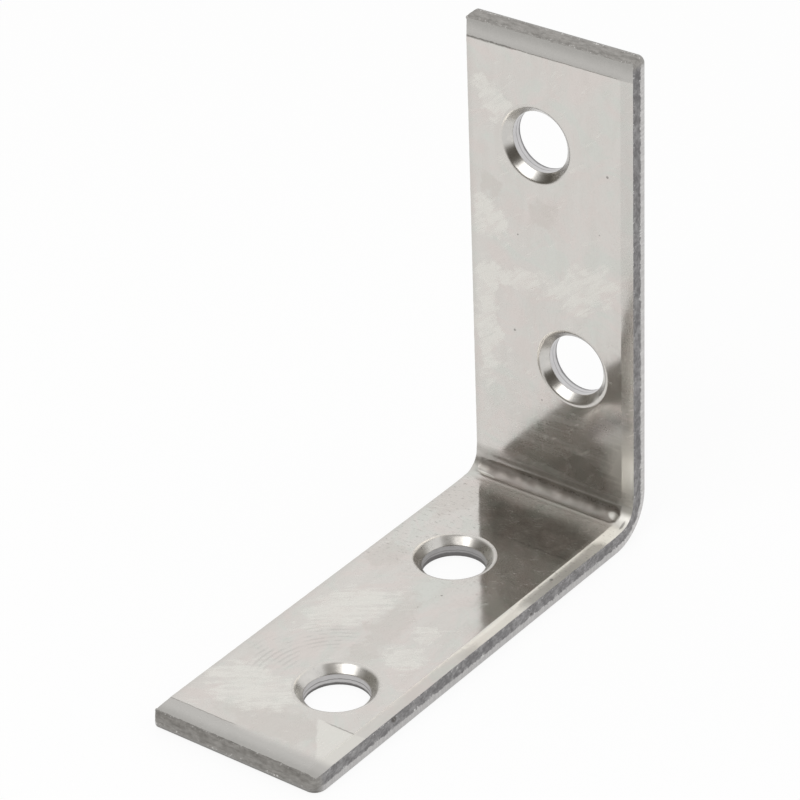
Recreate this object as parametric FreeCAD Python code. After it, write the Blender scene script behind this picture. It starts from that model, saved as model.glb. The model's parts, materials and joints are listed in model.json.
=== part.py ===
import FreeCAD, Part
import math
import os

# Corner brace: one strip of bright steel, sheared to length, pierced and folded once.
# Millimetres. X runs across the strip, the foot points along -Y, the upright along +Z.
# The origin lies under the middle of the foot.

# the folded strip
upright_length = 49.4        # underside of the foot to the top end
foot_length = 50.0           # back of the upright to the tip
strip_width = 18.1
stock = 2.0
bend_inside_radius = 2.0
bend_outside_radius = 4.8    # larger than inside radius + stock: the fold is drawn a little thin

# sheared edges: a rough break under the inner face, then a smooth land, then a rolled outer edge
near_break_depth = 1.15
near_break_inset = 0.07      # the ends lean back more than the sides
far_break_depth = 1.1
far_break_inset = 0.2
end_break_depth = 1.42
end_break_inset = 0.34
outer_edge_round = 0.3
tip_corner_round = 1.3
top_corner_round = 0.7
far_corner_round = 0.5

# the pressed border of the inner face, along the near side and both ends
side_border_width = 1.4
side_border_drop = 0.1
tip_border_width = 2.3
top_border_width = 2.05
end_border_drop = 0.16

# the nose groove coined into the inside of the fold
groove_radius = 0.8
groove_depth = 0.25
groove_far_margin = 0.5      # to the far side of the strip; the near end stops at the border

# countersunk screw holes, staggered in two rows
bore_radius = 3.0
countersink_radius = 3.75
countersink_depth = 0.75
countersink_lip_round = 0.8
bore_back_round = 0.2
row_spacing = 3.7
row_shift = 0.37             # both rows lie this far off the middle of the strip
upright_near_hole = 16.4     # from the underside of the foot
upright_far_hole = 38.4
foot_near_hole = 15.9        # from the back of the upright
foot_far_hole = 38.3

overcut = 1.0                # how far cutting bodies run past the metal
touch = 1e-4                 # closer than this counts as the same place

# derived places
near_side = strip_width / 2
far_side = -near_side
back_face = foot_length / 2
tip_end = back_face - foot_length
inner_back = back_face - stock
axis_y = inner_back - bend_inside_radius
axis_z = stock + bend_inside_radius
left_row = row_shift - row_spacing / 2
right_row = row_shift + row_spacing / 2


def vec(x, y, z):
    return FreeCAD.Vector(x, y, z)


def arc_edge(center, radius, start_deg, end_deg, to_point):
    """An arc edge; to_point turns (u, v) of the section plane into a 3-D point."""
    angles = [math.radians(a) for a in (start_deg, (start_deg + end_deg) / 2, end_deg)]
    on_arc = [to_point(center[0] + radius * math.cos(a), center[1] + radius * math.sin(a)) for a in angles]
    return Part.Arc(*on_arc).toShape()


def folded_strip():
    """The L section, drawn in the YZ plane and carried across the width."""
    def at(y, z):
        return vec(far_side, y, z)

    outer_bend_start = at(back_face - bend_outside_radius, 0)
    outer_bend_end = at(back_face, bend_outside_radius)
    inner_bend_start = at(inner_back, axis_z)
    inner_bend_end = at(axis_y, stock)
    outline = [
        Part.makeLine(at(tip_end, 0), outer_bend_start),
        arc_edge((back_face - bend_outside_radius, bend_outside_radius), bend_outside_radius, -90, 0, at),
        Part.makeLine(outer_bend_end, at(back_face, upright_length)),
        Part.makeLine(at(back_face, upright_length), at(inner_back, upright_length)),
        Part.makeLine(at(inner_back, upright_length), inner_bend_start),
        arc_edge((axis_y, axis_z), bend_inside_radius, 0, -90, at),
        Part.makeLine(inner_bend_end, at(tip_end, stock)),
        Part.makeLine(at(tip_end, stock), at(tip_end, 0)),
    ]
    return Part.Face(Part.Wire(outline)).extrude(vec(strip_width, 0, 0))


def edge_between(shape, start, end):
    """The edge of the shape that joins two points."""
    for edge in shape.Edges:
        ends = [vertex.Point for vertex in edge.Vertexes]
        if len(ends) == 2 and all(any(point.isEqual(mark, touch) for point in ends) for mark in (start, end)):
            return edge
    raise ValueError("no edge between %s and %s" % (start, end))


def round_corners(strip):
    """Round the four plan corners of the blank, then roll the edge of the outer face all round."""
    def through_tip(x):
        return vec(x, tip_end, 0), vec(x, tip_end, stock)

    def through_top(x):
        return vec(x, back_face, upright_length), vec(x, inner_back, upright_length)

    corners = [
        (through_tip(near_side), tip_corner_round),
        (through_top(near_side), top_corner_round),
        (through_tip(far_side), far_corner_round),
        (through_top(far_side), far_corner_round),
    ]
    for (start, end), radius in corners:
        strip = strip.makeFillet(radius, [edge_between(strip, start, end)])

    def on_outer_rim(edge):
        middle = edge.valueAt((edge.FirstParameter + edge.LastParameter) / 2)
        ends = [vertex.Point for vertex in edge.Vertexes]
        return all(is_on_outer_face(point) for point in ends + [middle])

    rim = [edge for edge in strip.Edges if on_outer_rim(edge) and not is_fold_seam(edge)]
    return strip.makeFillet(outer_edge_round, rim)


def is_on_outer_face(point):
    """True on the underside of the foot, the back of the upright or the outside of the fold."""
    bend_y, bend_z = back_face - bend_outside_radius, bend_outside_radius
    if point.y > bend_y and point.z < bend_z:
        return abs(math.hypot(point.y - bend_y, point.z - bend_z) - bend_outside_radius) < touch
    return abs(point.z) < touch or abs(point.y - back_face) < touch


def is_fold_seam(edge):
    """True on the two seams across the strip where the fold meets the flats."""
    box = edge.BoundBox
    across = box.XLength > strip_width - touch
    return across and box.YMin > tip_end + touch and box.ZMax < upright_length - touch


def edge_section(break_inset, break_depth, border_width=0, border_drop=0):
    """Cutter for one sheared edge, as (distance in from the edge, depth below the inner face)."""
    surface = [(break_inset, border_drop)]
    if border_width:
        surface.insert(0, (border_width, 0))
    above = (surface[0][0], -overcut)
    return [above] + surface + [(0, break_depth), (-overcut, break_depth), (-overcut, -overcut)]


def prism(section, to_point, run):
    corners = [to_point(inset, depth) for inset, depth in section]
    return Part.Face(Part.makePolygon(corners + corners[:1])).extrude(run)


def side_cutter(side, section):
    """Carry the section along one side: the flat of the foot, round the fold, up the upright."""
    toward_middle = -1 if side > 0 else 1
    foot_run = prism(section, lambda inset, depth: vec(side + toward_middle * inset, axis_y, stock - depth),
                     vec(0, tip_end - overcut - axis_y, 0))
    upright_run = prism(section, lambda inset, depth: vec(side + toward_middle * inset, inner_back + depth, axis_z),
                        vec(0, 0, upright_length + overcut - axis_z))
    start = [vec(side + toward_middle * inset, inner_back + depth, axis_z) for inset, depth in section]
    fold_run = Part.Face(Part.makePolygon(start + start[:1])).revolve(
        vec(0, axis_y, axis_z), vec(1, 0, 0), -90)
    return [foot_run, fold_run, upright_run]


def end_cutters():
    across = vec(strip_width + 2 * overcut, 0, 0)
    tip_section = edge_section(end_break_inset, end_break_depth, tip_border_width, end_border_drop)
    top_section = edge_section(end_break_inset, end_break_depth, top_border_width, end_border_drop)
    tip = prism(tip_section, lambda inset, depth: vec(far_side - overcut, tip_end + inset, stock - depth), across)
    top = prism(top_section, lambda inset, depth: vec(far_side - overcut, inner_back + depth,
                                                      upright_length - inset), across)
    return [tip, top]


def fold_groove():
    """A round-ended channel along the middle of the inside radius."""
    center_reach = bend_inside_radius + groove_depth - groove_radius
    mouth_cos = ((bend_inside_radius ** 2 + center_reach ** 2 - groove_radius ** 2)
                 / (2 * bend_inside_radius * center_reach))
    mouth_half = bend_inside_radius * math.sin(math.acos(mouth_cos))
    diagonal = center_reach * math.sqrt(0.5)
    start = vec(far_side + groove_far_margin + mouth_half, axis_y + diagonal, axis_z - diagonal)
    length = near_side - side_border_width - mouth_half - start.x
    channel = Part.makeCylinder(groove_radius, length, start, vec(1, 0, 0))
    ends = [Part.makeSphere(groove_radius, start + vec(step, 0, 0)) for step in (0, length)]
    return channel.fuse(ends)


def screw_hole():
    """Cutter for one hole: axis on Z, inner face at z = 0, metal below it."""
    def at(r, z):
        return vec(r, 0, z)

    slope = math.atan2(countersink_depth, countersink_radius - bore_radius)
    setback = countersink_lip_round * math.tan(slope / 2)
    lip_start = (countersink_radius + setback, 0)
    lip_center = (lip_start[0], -countersink_lip_round)
    lip_end = (countersink_radius - setback * math.cos(slope), -setback * math.sin(slope))
    back_radius = bore_radius + bore_back_round
    back_start = bore_back_round - stock
    section = [
        Part.makeLine(at(0, overcut), at(lip_start[0], overcut)),
        Part.makeLine(at(lip_start[0], overcut), at(*lip_start)),
        arc_edge(lip_center, countersink_lip_round, 90, 90 + math.degrees(slope), at),
        Part.makeLine(at(*lip_end), at(bore_radius, -countersink_depth)),
        Part.makeLine(at(bore_radius, -countersink_depth), at(bore_radius, back_start)),
        arc_edge((back_radius, back_start), bore_back_round, 180, 270, at),
        Part.makeLine(at(back_radius, -stock), at(back_radius, -stock - overcut)),
        Part.makeLine(at(back_radius, -stock - overcut), at(0, -stock - overcut)),
        Part.makeLine(at(0, -stock - overcut), at(0, overcut)),
    ]
    return Part.Face(Part.Wire(section)).revolve(vec(0, 0, 0), vec(0, 0, 1), 360)


def placed_holes():
    """The two holes of each leg, far and near ones on opposite rows."""
    face_forward = FreeCAD.Rotation(vec(1, 0, 0), 90)
    upright = [(left_row, upright_far_hole), (right_row, upright_near_hole)]
    foot = [(left_row, foot_near_hole), (right_row, foot_far_hole)]
    places = [FreeCAD.Placement(vec(x, inner_back, height), face_forward) for x, height in upright]
    places += [FreeCAD.Placement(vec(x, back_face - reach, stock), FreeCAD.Rotation()) for x, reach in foot]
    holes = []
    for place in places:
        hole = screw_hole()
        hole.Placement = place
        holes.append(hole)
    return holes


def corner_brace():
    brace = round_corners(folded_strip())
    near_section = edge_section(near_break_inset, near_break_depth, side_border_width, side_border_drop)
    cutters = side_cutter(near_side, near_section)
    cutters += side_cutter(far_side, edge_section(far_break_inset, far_break_depth))
    cutters += end_cutters()
    cutters.append(fold_groove())
    cutters += placed_holes()
    for cutter in cutters:
        brace = brace.cut(cutter)
    return brace.removeSplitter()


os.makedirs("parts", exist_ok=True)
brace = corner_brace()
brace.exportStep("parts/corner_brace.step")
box = brace.optimalBoundingBox()
print("corner_brace", "valid", brace.isValid(), "solids", len(brace.Solids), "faces", len(brace.Faces),
      "volume", round(brace.Volume, 2))
print("box", [round(value, 3) for value in (box.XMin, box.XMax, box.YMin, box.YMax, box.ZMin, box.ZMax)])
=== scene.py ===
import json
import math

import bmesh
import bpy
from mathutils import Matrix, Vector, noise
from mathutils.geometry import delaunay_2d_cdt

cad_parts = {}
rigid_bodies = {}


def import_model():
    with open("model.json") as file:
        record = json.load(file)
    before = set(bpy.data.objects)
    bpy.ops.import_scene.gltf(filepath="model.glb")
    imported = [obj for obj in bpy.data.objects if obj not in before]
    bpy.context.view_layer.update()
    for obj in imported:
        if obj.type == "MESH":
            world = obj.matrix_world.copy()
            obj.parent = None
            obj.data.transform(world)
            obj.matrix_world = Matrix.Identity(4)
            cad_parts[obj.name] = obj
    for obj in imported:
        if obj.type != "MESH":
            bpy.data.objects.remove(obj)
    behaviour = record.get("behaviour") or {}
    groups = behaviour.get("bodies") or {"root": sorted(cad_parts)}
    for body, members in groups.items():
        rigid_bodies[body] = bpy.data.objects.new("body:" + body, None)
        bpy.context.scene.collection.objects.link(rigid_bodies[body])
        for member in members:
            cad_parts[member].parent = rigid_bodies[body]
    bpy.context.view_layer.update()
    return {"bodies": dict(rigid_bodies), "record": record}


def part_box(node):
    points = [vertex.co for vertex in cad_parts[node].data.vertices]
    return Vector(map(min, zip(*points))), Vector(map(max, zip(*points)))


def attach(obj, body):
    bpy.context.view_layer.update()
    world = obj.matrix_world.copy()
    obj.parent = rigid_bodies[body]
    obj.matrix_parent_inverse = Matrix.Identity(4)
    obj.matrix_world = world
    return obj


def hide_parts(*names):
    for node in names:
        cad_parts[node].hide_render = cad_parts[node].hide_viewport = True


# A folded corner brace in bright rolled steel, standing on its foot.
# The strip is drawn flat, as the press blanks it, and a Geometry Nodes tree folds it up.
# Sizes are in millimetres until a mesh or a lamp is made.

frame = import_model()
mm = 0.001
nodeLow, nodeHigh = (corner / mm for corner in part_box("corner_brace"))


class Wire:  # a node socket that takes part in Python sums
    def __init__(self, bench, socket):
        self.bench, self.socket = bench, socket

    def __add__(self, other): return self.bench.maths("ADD", self, other)
    def __radd__(self, other): return self.bench.maths("ADD", other, self)
    def __sub__(self, other): return self.bench.maths("SUBTRACT", self, other)
    def __rsub__(self, other): return self.bench.maths("SUBTRACT", other, self)
    def __mul__(self, other): return self.bench.maths("MULTIPLY", self, other)
    def __rmul__(self, other): return self.bench.maths("MULTIPLY", other, self)
    def __truediv__(self, other): return self.bench.maths("DIVIDE", self, other)
    def __rtruediv__(self, other): return self.bench.maths("DIVIDE", other, self)
    def __neg__(self): return self.bench.maths("MULTIPLY", self, -1.0)

    def also(self, name):  # another output of the same node
        return Wire(self.bench, self.socket.node.outputs[name])


class Bench:  # one node tree, and the one way a node is put in it
    def __init__(self, tree):
        self.tree = tree

    def add(self, kind, settings=None, sockets=None, out=0):
        node = self.tree.nodes.new(kind)
        for name, value in (settings or {}).items():
            setattr(node, name, value)
        for name, value in (sockets or {}).items():
            if isinstance(value, Wire):
                self.tree.links.new(value.socket, node.inputs[name])
            else:
                node.inputs[name].default_value = value
        return Wire(self, node.outputs[out]) if len(node.outputs) else node

    def maths(self, operation, *values):
        return self.add("ShaderNodeMath", {"operation": operation}, dict(enumerate(values)))

    def vectors(self, operation, *values, out="Vector"):
        return self.add("ShaderNodeVectorMath", {"operation": operation}, dict(enumerate(values)), out)

    def most(self, highest, *others):
        for other in others:
            highest = self.maths("MAXIMUM", highest, other)
        return highest

    def axes(self, vector):
        x = self.add("ShaderNodeSeparateXYZ", {}, {"Vector": vector})
        return x, x.also("Y"), x.also("Z")

    def ramp(self, value, low, high, atLow=0.0, atHigh=1.0):
        return self.add("ShaderNodeMapRange", {"interpolation_type": "SMOOTHSTEP"},
                        {"Value": value, "From Min": low, "From Max": high, "To Min": atLow, "To Max": atHigh})

    def near(self, offset, outer, core):  # 1 within the core distance, 0 past the outer one
        return self.ramp(self.maths("ABSOLUTE", offset), outer, core)

    def blend(self, factor, first, second):  # colours
        return self.add("ShaderNodeMix", {"data_type": "RGBA"}, {0: factor, 6: first, 7: second}, 2)

    def paint(self, colour, *layers):  # (amount, colour), each over the last
        for amount, over in layers:
            colour = self.blend(amount, colour, over)
        return colour

    def stretch(self, vector, times):
        return self.add("ShaderNodeMapping", {}, {"Vector": vector, "Scale": times})

    def seenFrom(self, vector, middle, turn, size):  # measured from a middle, in turned and scaled axes
        return self.add("ShaderNodeMapping", {"vector_type": "TEXTURE"},
                        {"Vector": vector, "Location": middle, "Rotation": (0, 0, math.radians(turn)), "Scale": size})

    def noise(self, vector, scale, detail, rough, twist=0.0, out=0):  # scale is one value, or one per axis
        if isinstance(scale, tuple):
            vector, scale = self.stretch(vector, scale), 1.0
        return self.add("ShaderNodeTexNoise", {},
                        {"Vector": vector, "Scale": scale, "Detail": detail, "Roughness": rough,
                         "Distortion": twist}, out)


# the blank

strip = {
    "stock": 2.0,
    "foldInside": 2.0,
    "foldOutside": 4.8,
    "tipCorner": 1.3, "topCorner": 0.7, "farCorner": 0.5,  # at the outer face
    "innerCorner": 0.22,  # all four, at the inner face
    "outerRound": 0.3, "endRound": 0.5,
    "nearInset": 0.07, "endInset": 0.34, "farInset": 0.2,  # how far the inner rim stands back
    "nearBreak": 1.15, "endBreak": 1.42, "farBreak": 1.1,  # depth where the torn part ends
    "sideBorder": 1.35, "sideDrop": 0.1,
    "dip": 0.06, "dipWidth": 0.15, "dipRise": 0.055,  # on the foot it dips first, then rises to the rim
    "dipEnd": (38.0, 46.0),  # the dip gives way to a plain drop here
    "tipBorder": 2.3, "topBorder": 2.05, "endDrop": 0.16,
    "endCurve": 1.5, "sideCurve": 1.25,
    "stepWidth": 0.09, "stepDrop": 0.03,  # the end borders start with a small step
    "stepLeast": 0.2, "stepFadeFrom": -1.0, "stepFadeRun": 2.5,  # by the tip it fades towards the near side
    "runIn": 4.0, "runInRise": 0.1, "runInFade": 1.25,  # the foot swells a little before the fold
    "runOut": 2.4, "runOutFade": 0.7,
    "rimStep": 0.16,  # spacing of the points round the rim
    "foldRows": 40, "bandStep": 0.13,
    "bandRows": (0.25, 0.1, 1.0),  # row spacing beside the fold: far off, close by, and how far close reaches
    "tearDepth": 0.05, "tearRows": 7,
    "sharpAngle": 30,
}

groove = {
    "radius": 1.1, "depth": 0.27, "farMargin": 0.6, "nearOverlap": 0.3,
    "slant": 0.006, "farTaper": 1.6,  # not quite square, and drawn out at the far end
    "ridgeHeight": 0.004, "ridgeWidth": 0.05,
}

sink = {
    "points": 128,
    "radius": 3.75, "depth": 0.75, "lipRound": 0.6, "lipRows": 8,
    "toeRound": 0.12, "backRound": 0.2, "uneven": 0.012,
}

nearX = (nodeHigh.x - nodeLow.x) / 2
foldAxis = Vector((nodeHigh.y - strip["stock"] - strip["foldInside"], strip["stock"] + strip["foldInside"]))
footRun = foldAxis.x - nodeLow.y
foldRun = strip["foldInside"] * math.pi / 2
foldEnd = footRun + foldRun


def upAt(height):  # height up the upright to distance along the blank
    return foldEnd + height - foldAxis.y


blankLength = upAt(nodeHigh.z)
bandStart, bandEnd = footRun - strip["runIn"], foldEnd + strip["runOut"]


def spread(start, end, step):
    count = max(1, round(abs(end - start) / step))
    return [start + (end - start) * k / count for k in range(count + 1)]


def wave(x, s, size, seed):  # smooth repeatable unevenness, about -1 to 1
    return noise.noise(Vector((x / size, s / size, seed)))


class FlatBlank:  # points at (across, along, -depth), faces with a finish
    def __init__(self):
        self.points, self.faces, self.finishes, self.smooth, self.known = [], [], [], [], {}

    def point(self, x, s, depth):
        key = (round(x, 5), round(s, 5), round(depth, 5))
        if key not in self.known:
            self.known[key] = len(self.points)
            self.points.append((x, s, -depth))
        return self.known[key]

    def face(self, corners, finish, smooth=True):
        corners = [c for k, c in enumerate(corners) if c != corners[k - 1]]
        if len(set(corners)) > 2:
            self.faces.append(corners)
            self.finishes.append(finish)
            self.smooth.append(smooth)

    def ladder(self, first, second, finish, closed=False):
        last = len(first) if closed else len(first) - 1
        for k in range(last):
            n = (k + 1) % len(first)
            self.face([first[k], first[n], second[n], second[k]], finish)

    def fill(self, loop, lines, holes, depthAt, finish):  # a flat stretch, with holes and creases
        used = sorted(set(loop + [p for line in lines for p in line] + [p for ring, *_ in holes for p in ring]))
        local = {p: k for k, p in enumerate(used)}
        edges = [(local[loop[k - 1]], local[loop[k]]) for k in range(len(loop))]
        edges += [(local[a], local[b]) for line in lines for a, b in zip(line, line[1:])]
        edges += [(local[ring[k - 1]], local[ring[k]]) for ring, *_ in holes for k in range(len(ring))]
        flat = [Vector(self.points[p][:2]) for p in used]
        spots, _, triangles, origins, _, _ = delaunay_2d_cdt(flat, edges, [], 1, 1e-6)
        placed = [used[origin[0]] if origin else self.point(spot.x, spot.y, depthAt(spot.x, spot.y))
                  for spot, origin in zip(spots, origins)]
        for triangle in triangles:
            centre = sum((Vector(spots[c]) for c in triangle), Vector((0, 0))) / len(triangle)
            if all((centre - middle).length > radius * 0.9995 for _, middle, radius in holes):
                self.face([placed[c] for c in triangle], finish, 0 < depthAt(*centre) < 1)


finish = {"rolled": 0, "sheared": 1, "pierced": 2}


def creaseShift(x):  # the pressed step wanders a little along the end
    return 0.05 * wave(x, 0.0, 2.5, 21.0) + 0.03 * wave(x, 0.0, 0.7, 22.0)


def faceDepth(x, s):  # the inner face: pressed borders, and the swell before the fold
    onFoot = s < footRun
    width = strip["tipBorder" if onFoot else "topBorder"] + creaseShift(x)
    inset = s if onFoot else blankLength - s
    depth = 0.0
    if inset < width:
        least = strip["stepLeast"]
        share = min(1.0, max(least, least - (x - strip["stepFadeFrom"]) / strip["stepFadeRun"]))
        drop = strip["stepDrop"] * (share if onFoot else 1.0)
        depth = drop * min(1.0, (width - inset) / strip["stepWidth"])
        depth += (strip["endDrop"] - drop) * (1 - inset / width) ** strip["endCurve"]
    inset = nearX - x
    if inset < strip["sideBorder"]:
        pressed = 1 - inset / strip["sideBorder"]
        dipStart, dipStop = strip["dipEnd"]
        fade = min(1.0, max(0.0, (dipStop - s) / (dipStop - dipStart)))
        dip = strip["dip"] * min(1.0, pressed * strip["sideBorder"] / strip["dipWidth"]) - strip["dipRise"] * pressed
        depth = max(depth, fade * dip + (1 - fade) * strip["sideDrop"] * pressed ** strip["sideCurve"])
    if bandStart - 0.001 < s < bandEnd + 0.001:
        span, fade = (strip["runIn"], strip["runInFade"]) if onFoot else (strip["runOut"], strip["runOutFade"])
        past = max(footRun - s, 0.0) + max(s - footRun - foldRun, 0.0)
        depth -= strip["runInRise"] * math.exp(-past / fade) * (1 - past / span)
    return depth


def grooveDepth(x, s):  # the nose groove inside the fold, with its raised lips
    inside, radius = strip["foldInside"], groove["radius"]
    centre = inside + groove["depth"] - radius
    mouth = inside * math.sin(math.acos((inside ** 2 + centre ** 2 - radius ** 2) / (2 * inside * centre)))
    low = -nearX + groove["farMargin"] + mouth * groove["farTaper"]
    high = nearX - strip["sideBorder"] - mouth + groove["nearOverlap"]
    past = max((low - x) / groove["farTaper"], x - high, 0.0)
    turn = (s + groove["slant"] * (x + nearX) - footRun) / inside - math.pi / 4
    room = radius ** 2 - past ** 2 - (centre * math.sin(turn)) ** 2
    level = centre * math.cos(turn) + math.sqrt(room) - inside if room > 0 else -1.0
    if room <= 0 or level < 0:  # outside the mouth: distance to it, along the surface
        across = abs(turn) * inside
        away = math.hypot(max(past, 0.0), across) - mouth if past > 0 else across - mouth
        level = -max(away, 0.0)
    ridge = groove["ridgeHeight"] * math.exp(-((level + 0.03) / groove["ridgeWidth"]) ** 2)
    uneven = 1 + 0.25 * wave(x, s, 1.1, 4.0)
    return (max(level, 0.0) - ridge) * uneven


class RimStation:  # one place on the rim; corners are sharper near the inner face
    def __init__(self, x, s, inward, corner=None, share=0.0, ends=(0.0, 0.0)):
        self.x, self.s, self.inward, self.corner, self.share = x, s, inward, corner, share
        self.endWeight = ends[0] + (ends[1] - ends[0]) * share
        self.far = 1.0 if x < 0 and not self.endWeight else 0.0

    def at(self, inset, depth):
        if not self.corner:
            return self.x + self.inward[0] * inset, self.s + self.inward[1] * inset
        (cornerX, cornerS), (goX, goS), outer = self.corner
        blend = min(1.0, max(0.0, (depth - 0.25) / 1.2))
        radius = strip["innerCorner"] + (outer - strip["innerCorner"]) * blend * blend * (3 - 2 * blend)
        radius = max(radius, inset + 0.02)
        straight, arc = outer - radius, radius * math.pi / 2
        run = self.share * (2 * straight + arc)
        if run < straight:
            back, aside = outer - run, inset
        elif run < straight + arc:
            turn = (run - straight) / radius
            back = radius - (radius - inset) * math.sin(turn)
            aside = radius - (radius - inset) * math.cos(turn)
        else:
            back, aside = inset, run - straight - arc + radius
        return cornerX - goX * back - goS * aside, cornerS - goS * back + goX * aside


def rimStations():  # round the blank, near side first, turning left
    step, near, length = strip["rimStep"], nearX, blankLength
    tip, top, far = strip["tipCorner"], strip["topCorner"], strip["farCorner"]
    coarse, fine, edge = strip["bandRows"]
    rows = spread(bandStart, footRun - edge, coarse)[:-1] + spread(footRun - edge, footRun, fine)[:-1]
    rows += spread(footRun, foldEnd, foldRun / strip["foldRows"])[:-1] + spread(foldEnd, foldEnd + edge, fine)[:-1]
    rows += spread(foldEnd + edge, bandEnd, coarse)

    def alongSide(low, high):
        return spread(low, bandStart, step)[:-1] + rows + spread(bandEnd, high, step)[1:]

    def corner(x, s, go, radius, count, ends):
        return [RimStation(x, s, (0, 0), ((x, s), go, radius), k / count, ends) for k in range(1, count)]

    nearSide = [RimStation(near, s, (-1, 0)) for s in alongSide(tip, length - top)]
    topRun = corner(near, length, (0, 1), top, 10, (0, 1))
    topRun += [RimStation(x, length, (0, -1), ends=(1, 1)) for x in spread(near - top, far - near, step)]
    topRun += corner(-near, length, (-1, 0), far, 8, (1, 0))
    farSide = [RimStation(-near, s, (1, 0)) for s in reversed(alongSide(far, length - far))]
    tipRun = corner(-near, 0.0, (0, -1), far, 8, (0, 1))
    tipRun += [RimStation(x, 0.0, (0, 1), ends=(1, 1)) for x in spread(far - near, near - tip, step)]
    tipRun += corner(near, 0.0, (1, 0), tip, 16, (1, 0))
    return nearSide, topRun, farSide, tipRun, rows


def quarterRound(start, radius, steps):  # into the outer face, as (distance, depth)
    turns = [math.radians(90 * k / steps) for k in range(steps + 1)]
    return [(start + radius * (1 - math.cos(t)), strip["stock"] - radius * (1 - math.sin(t))) for t in turns]


def rimRows(station):  # points from the inner rim to the outer face
    x, s, end = station.x, station.s, station.endWeight
    if station.corner:
        x, s = station.at(0.0, 1.0)
    side = "far" if station.far else "near"
    inset = strip[side + "Inset"] + (strip["endInset"] - strip[side + "Inset"]) * end
    land = strip[side + "Break"] + (strip["endBreak"] - strip[side + "Break"]) * end
    ragged = 0.55 * wave(x, s, 0.9, 1.0) + 0.45 * wave(x, s, 0.3, 2.0)
    inset += (0.03 + 0.09 * end) * ragged
    land += 0.16 * wave(x, s, 3.0, 3.0) + 0.08 * wave(x, s, 0.6, 5.0)
    top = faceDepth(*station.at(inset, 0.0)) + 0.03 * end * wave(x, s, 0.4, 9.0)
    rows = [(inset, top)]
    for k in range(1, strip["tearRows"]):
        share = k / strip["tearRows"]
        depth = top + (land - top) * share
        torn = wave(x, s, 0.42, 7.0 + 2.2 * share) + 0.6 * wave(x, s, 0.2, 11.0 + 3.0 * share)
        lean = inset * (1 - share) ** (1.6 + 0.5 * end)
        rows.append((lean + max(0.0, 0.55 + torn) * strip["tearDepth"] * (1 + 0.5 * end), depth))
    rows.append((0.0, land))
    rows += quarterRound(0.0, strip["outerRound"] + (strip["endRound"] - strip["outerRound"]) * end, 5)
    return [(*station.at(*row), row[1]) for row in rows]


def buildRim(blank, stations):  # returns the inner and the outer rim
    rows = [[blank.point(*row) for row in rimRows(station)] for station in stations]
    for k in range(len(rows)):
        blank.ladder(rows[k - 1], rows[k], finish["sheared"])
    return [row[0] for row in rows], [row[-1] for row in rows]


def sinkProfile():  # (radius, depth) down through one hole
    slope = math.atan2(sink["depth"], sink["radius"] - boreRadius)
    lip = sink["lipRound"]
    flatStart = sink["radius"] + lip * math.tan(slope / 2)
    turns = [slope * k / sink["lipRows"] for k in range(sink["lipRows"] + 1)]
    rows = [(flatStart - lip * math.sin(t), lip * (1 - math.cos(t))) for t in turns]
    toe = sink["toeRound"]
    toeBack = toe * math.tan((math.pi / 2 - slope) / 2)
    toeDepth = sink["depth"] + toeBack
    coneEnd = (boreRadius + toeBack * math.cos(slope), sink["depth"] - toeBack * math.sin(slope))
    lipEnd = rows[-1]
    rows += [(lipEnd[0] + (coneEnd[0] - lipEnd[0]) * t, lipEnd[1] + (coneEnd[1] - lipEnd[1]) * t)
             for t in (0.33, 0.67)]
    turns = [slope + (math.pi / 2 - slope) * k / 3 for k in range(4)]
    rows += [(boreRadius + toe * (1 - math.sin(t)), toeDepth - toe * math.cos(t)) for t in turns]
    wallEnd = strip["stock"] - sink["backRound"]
    rows += [(boreRadius, toeDepth + (wallEnd - toeDepth) * t) for t in (0.25, 0.5, 0.75)]
    return rows + quarterRound(boreRadius, sink["backRound"], 4)


def buildHole(blank, middle):
    rings, profile = [], sinkProfile()
    for radius, depth in profile:
        ring = []
        for k in range(sink["points"]):
            turn = 2 * math.pi * k / sink["points"]
            spot = Vector((math.cos(turn) * 1.5, math.sin(turn) * 1.5, middle.y + depth))
            uneven = sink["uneven"] * noise.noise(spot)
            r = radius + (uneven if 0.02 < depth < strip["stock"] - 0.02 else 0.0)
            ring.append(blank.point(middle.x + r * math.cos(turn), middle.y + r * math.sin(turn), depth))
        rings.append(ring)
    for first, second in zip(rings, rings[1:]):
        blank.ladder(first, second, finish["pierced"], closed=True)
    return (rings[0], middle, profile[0][0]), (rings[-1], middle, profile[-1][0])


def holesFromRecord():  # middles of the screw holes on the flat blank
    middles, radius = [], 0.0
    for mount in frame["record"]["mounts"]:
        if mount["kind"] == "bore":
            x, y, z = (v / mm for v in mount["pos_m"])
            onFoot = abs(mount["axis"][2]) > 0.5
            middles.append(Vector((x, y - nodeLow.y if onFoot else upAt(z))))
            radius = mount["dims"]["r_mm"]
    return middles, radius


def pressedPoints(onFoot):  # (across, in from the end) of points that carry the curve of the pressed borders
    border, reachOut = (strip["tipBorder"], bandStart) if onFoot else (strip["topBorder"], blankLength - bandEnd)
    places = [(x, inset) for x in spread(-nearX + 0.7, nearX - 0.8, 0.4) for inset in (0.75, 1.1, 1.5)]
    lengths = spread(border + 0.3, reachOut - 0.3, 0.8)
    return places + [(nearX - back, inset) for back in (0.4, 0.75, 1.1) for inset in lengths]


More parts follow.
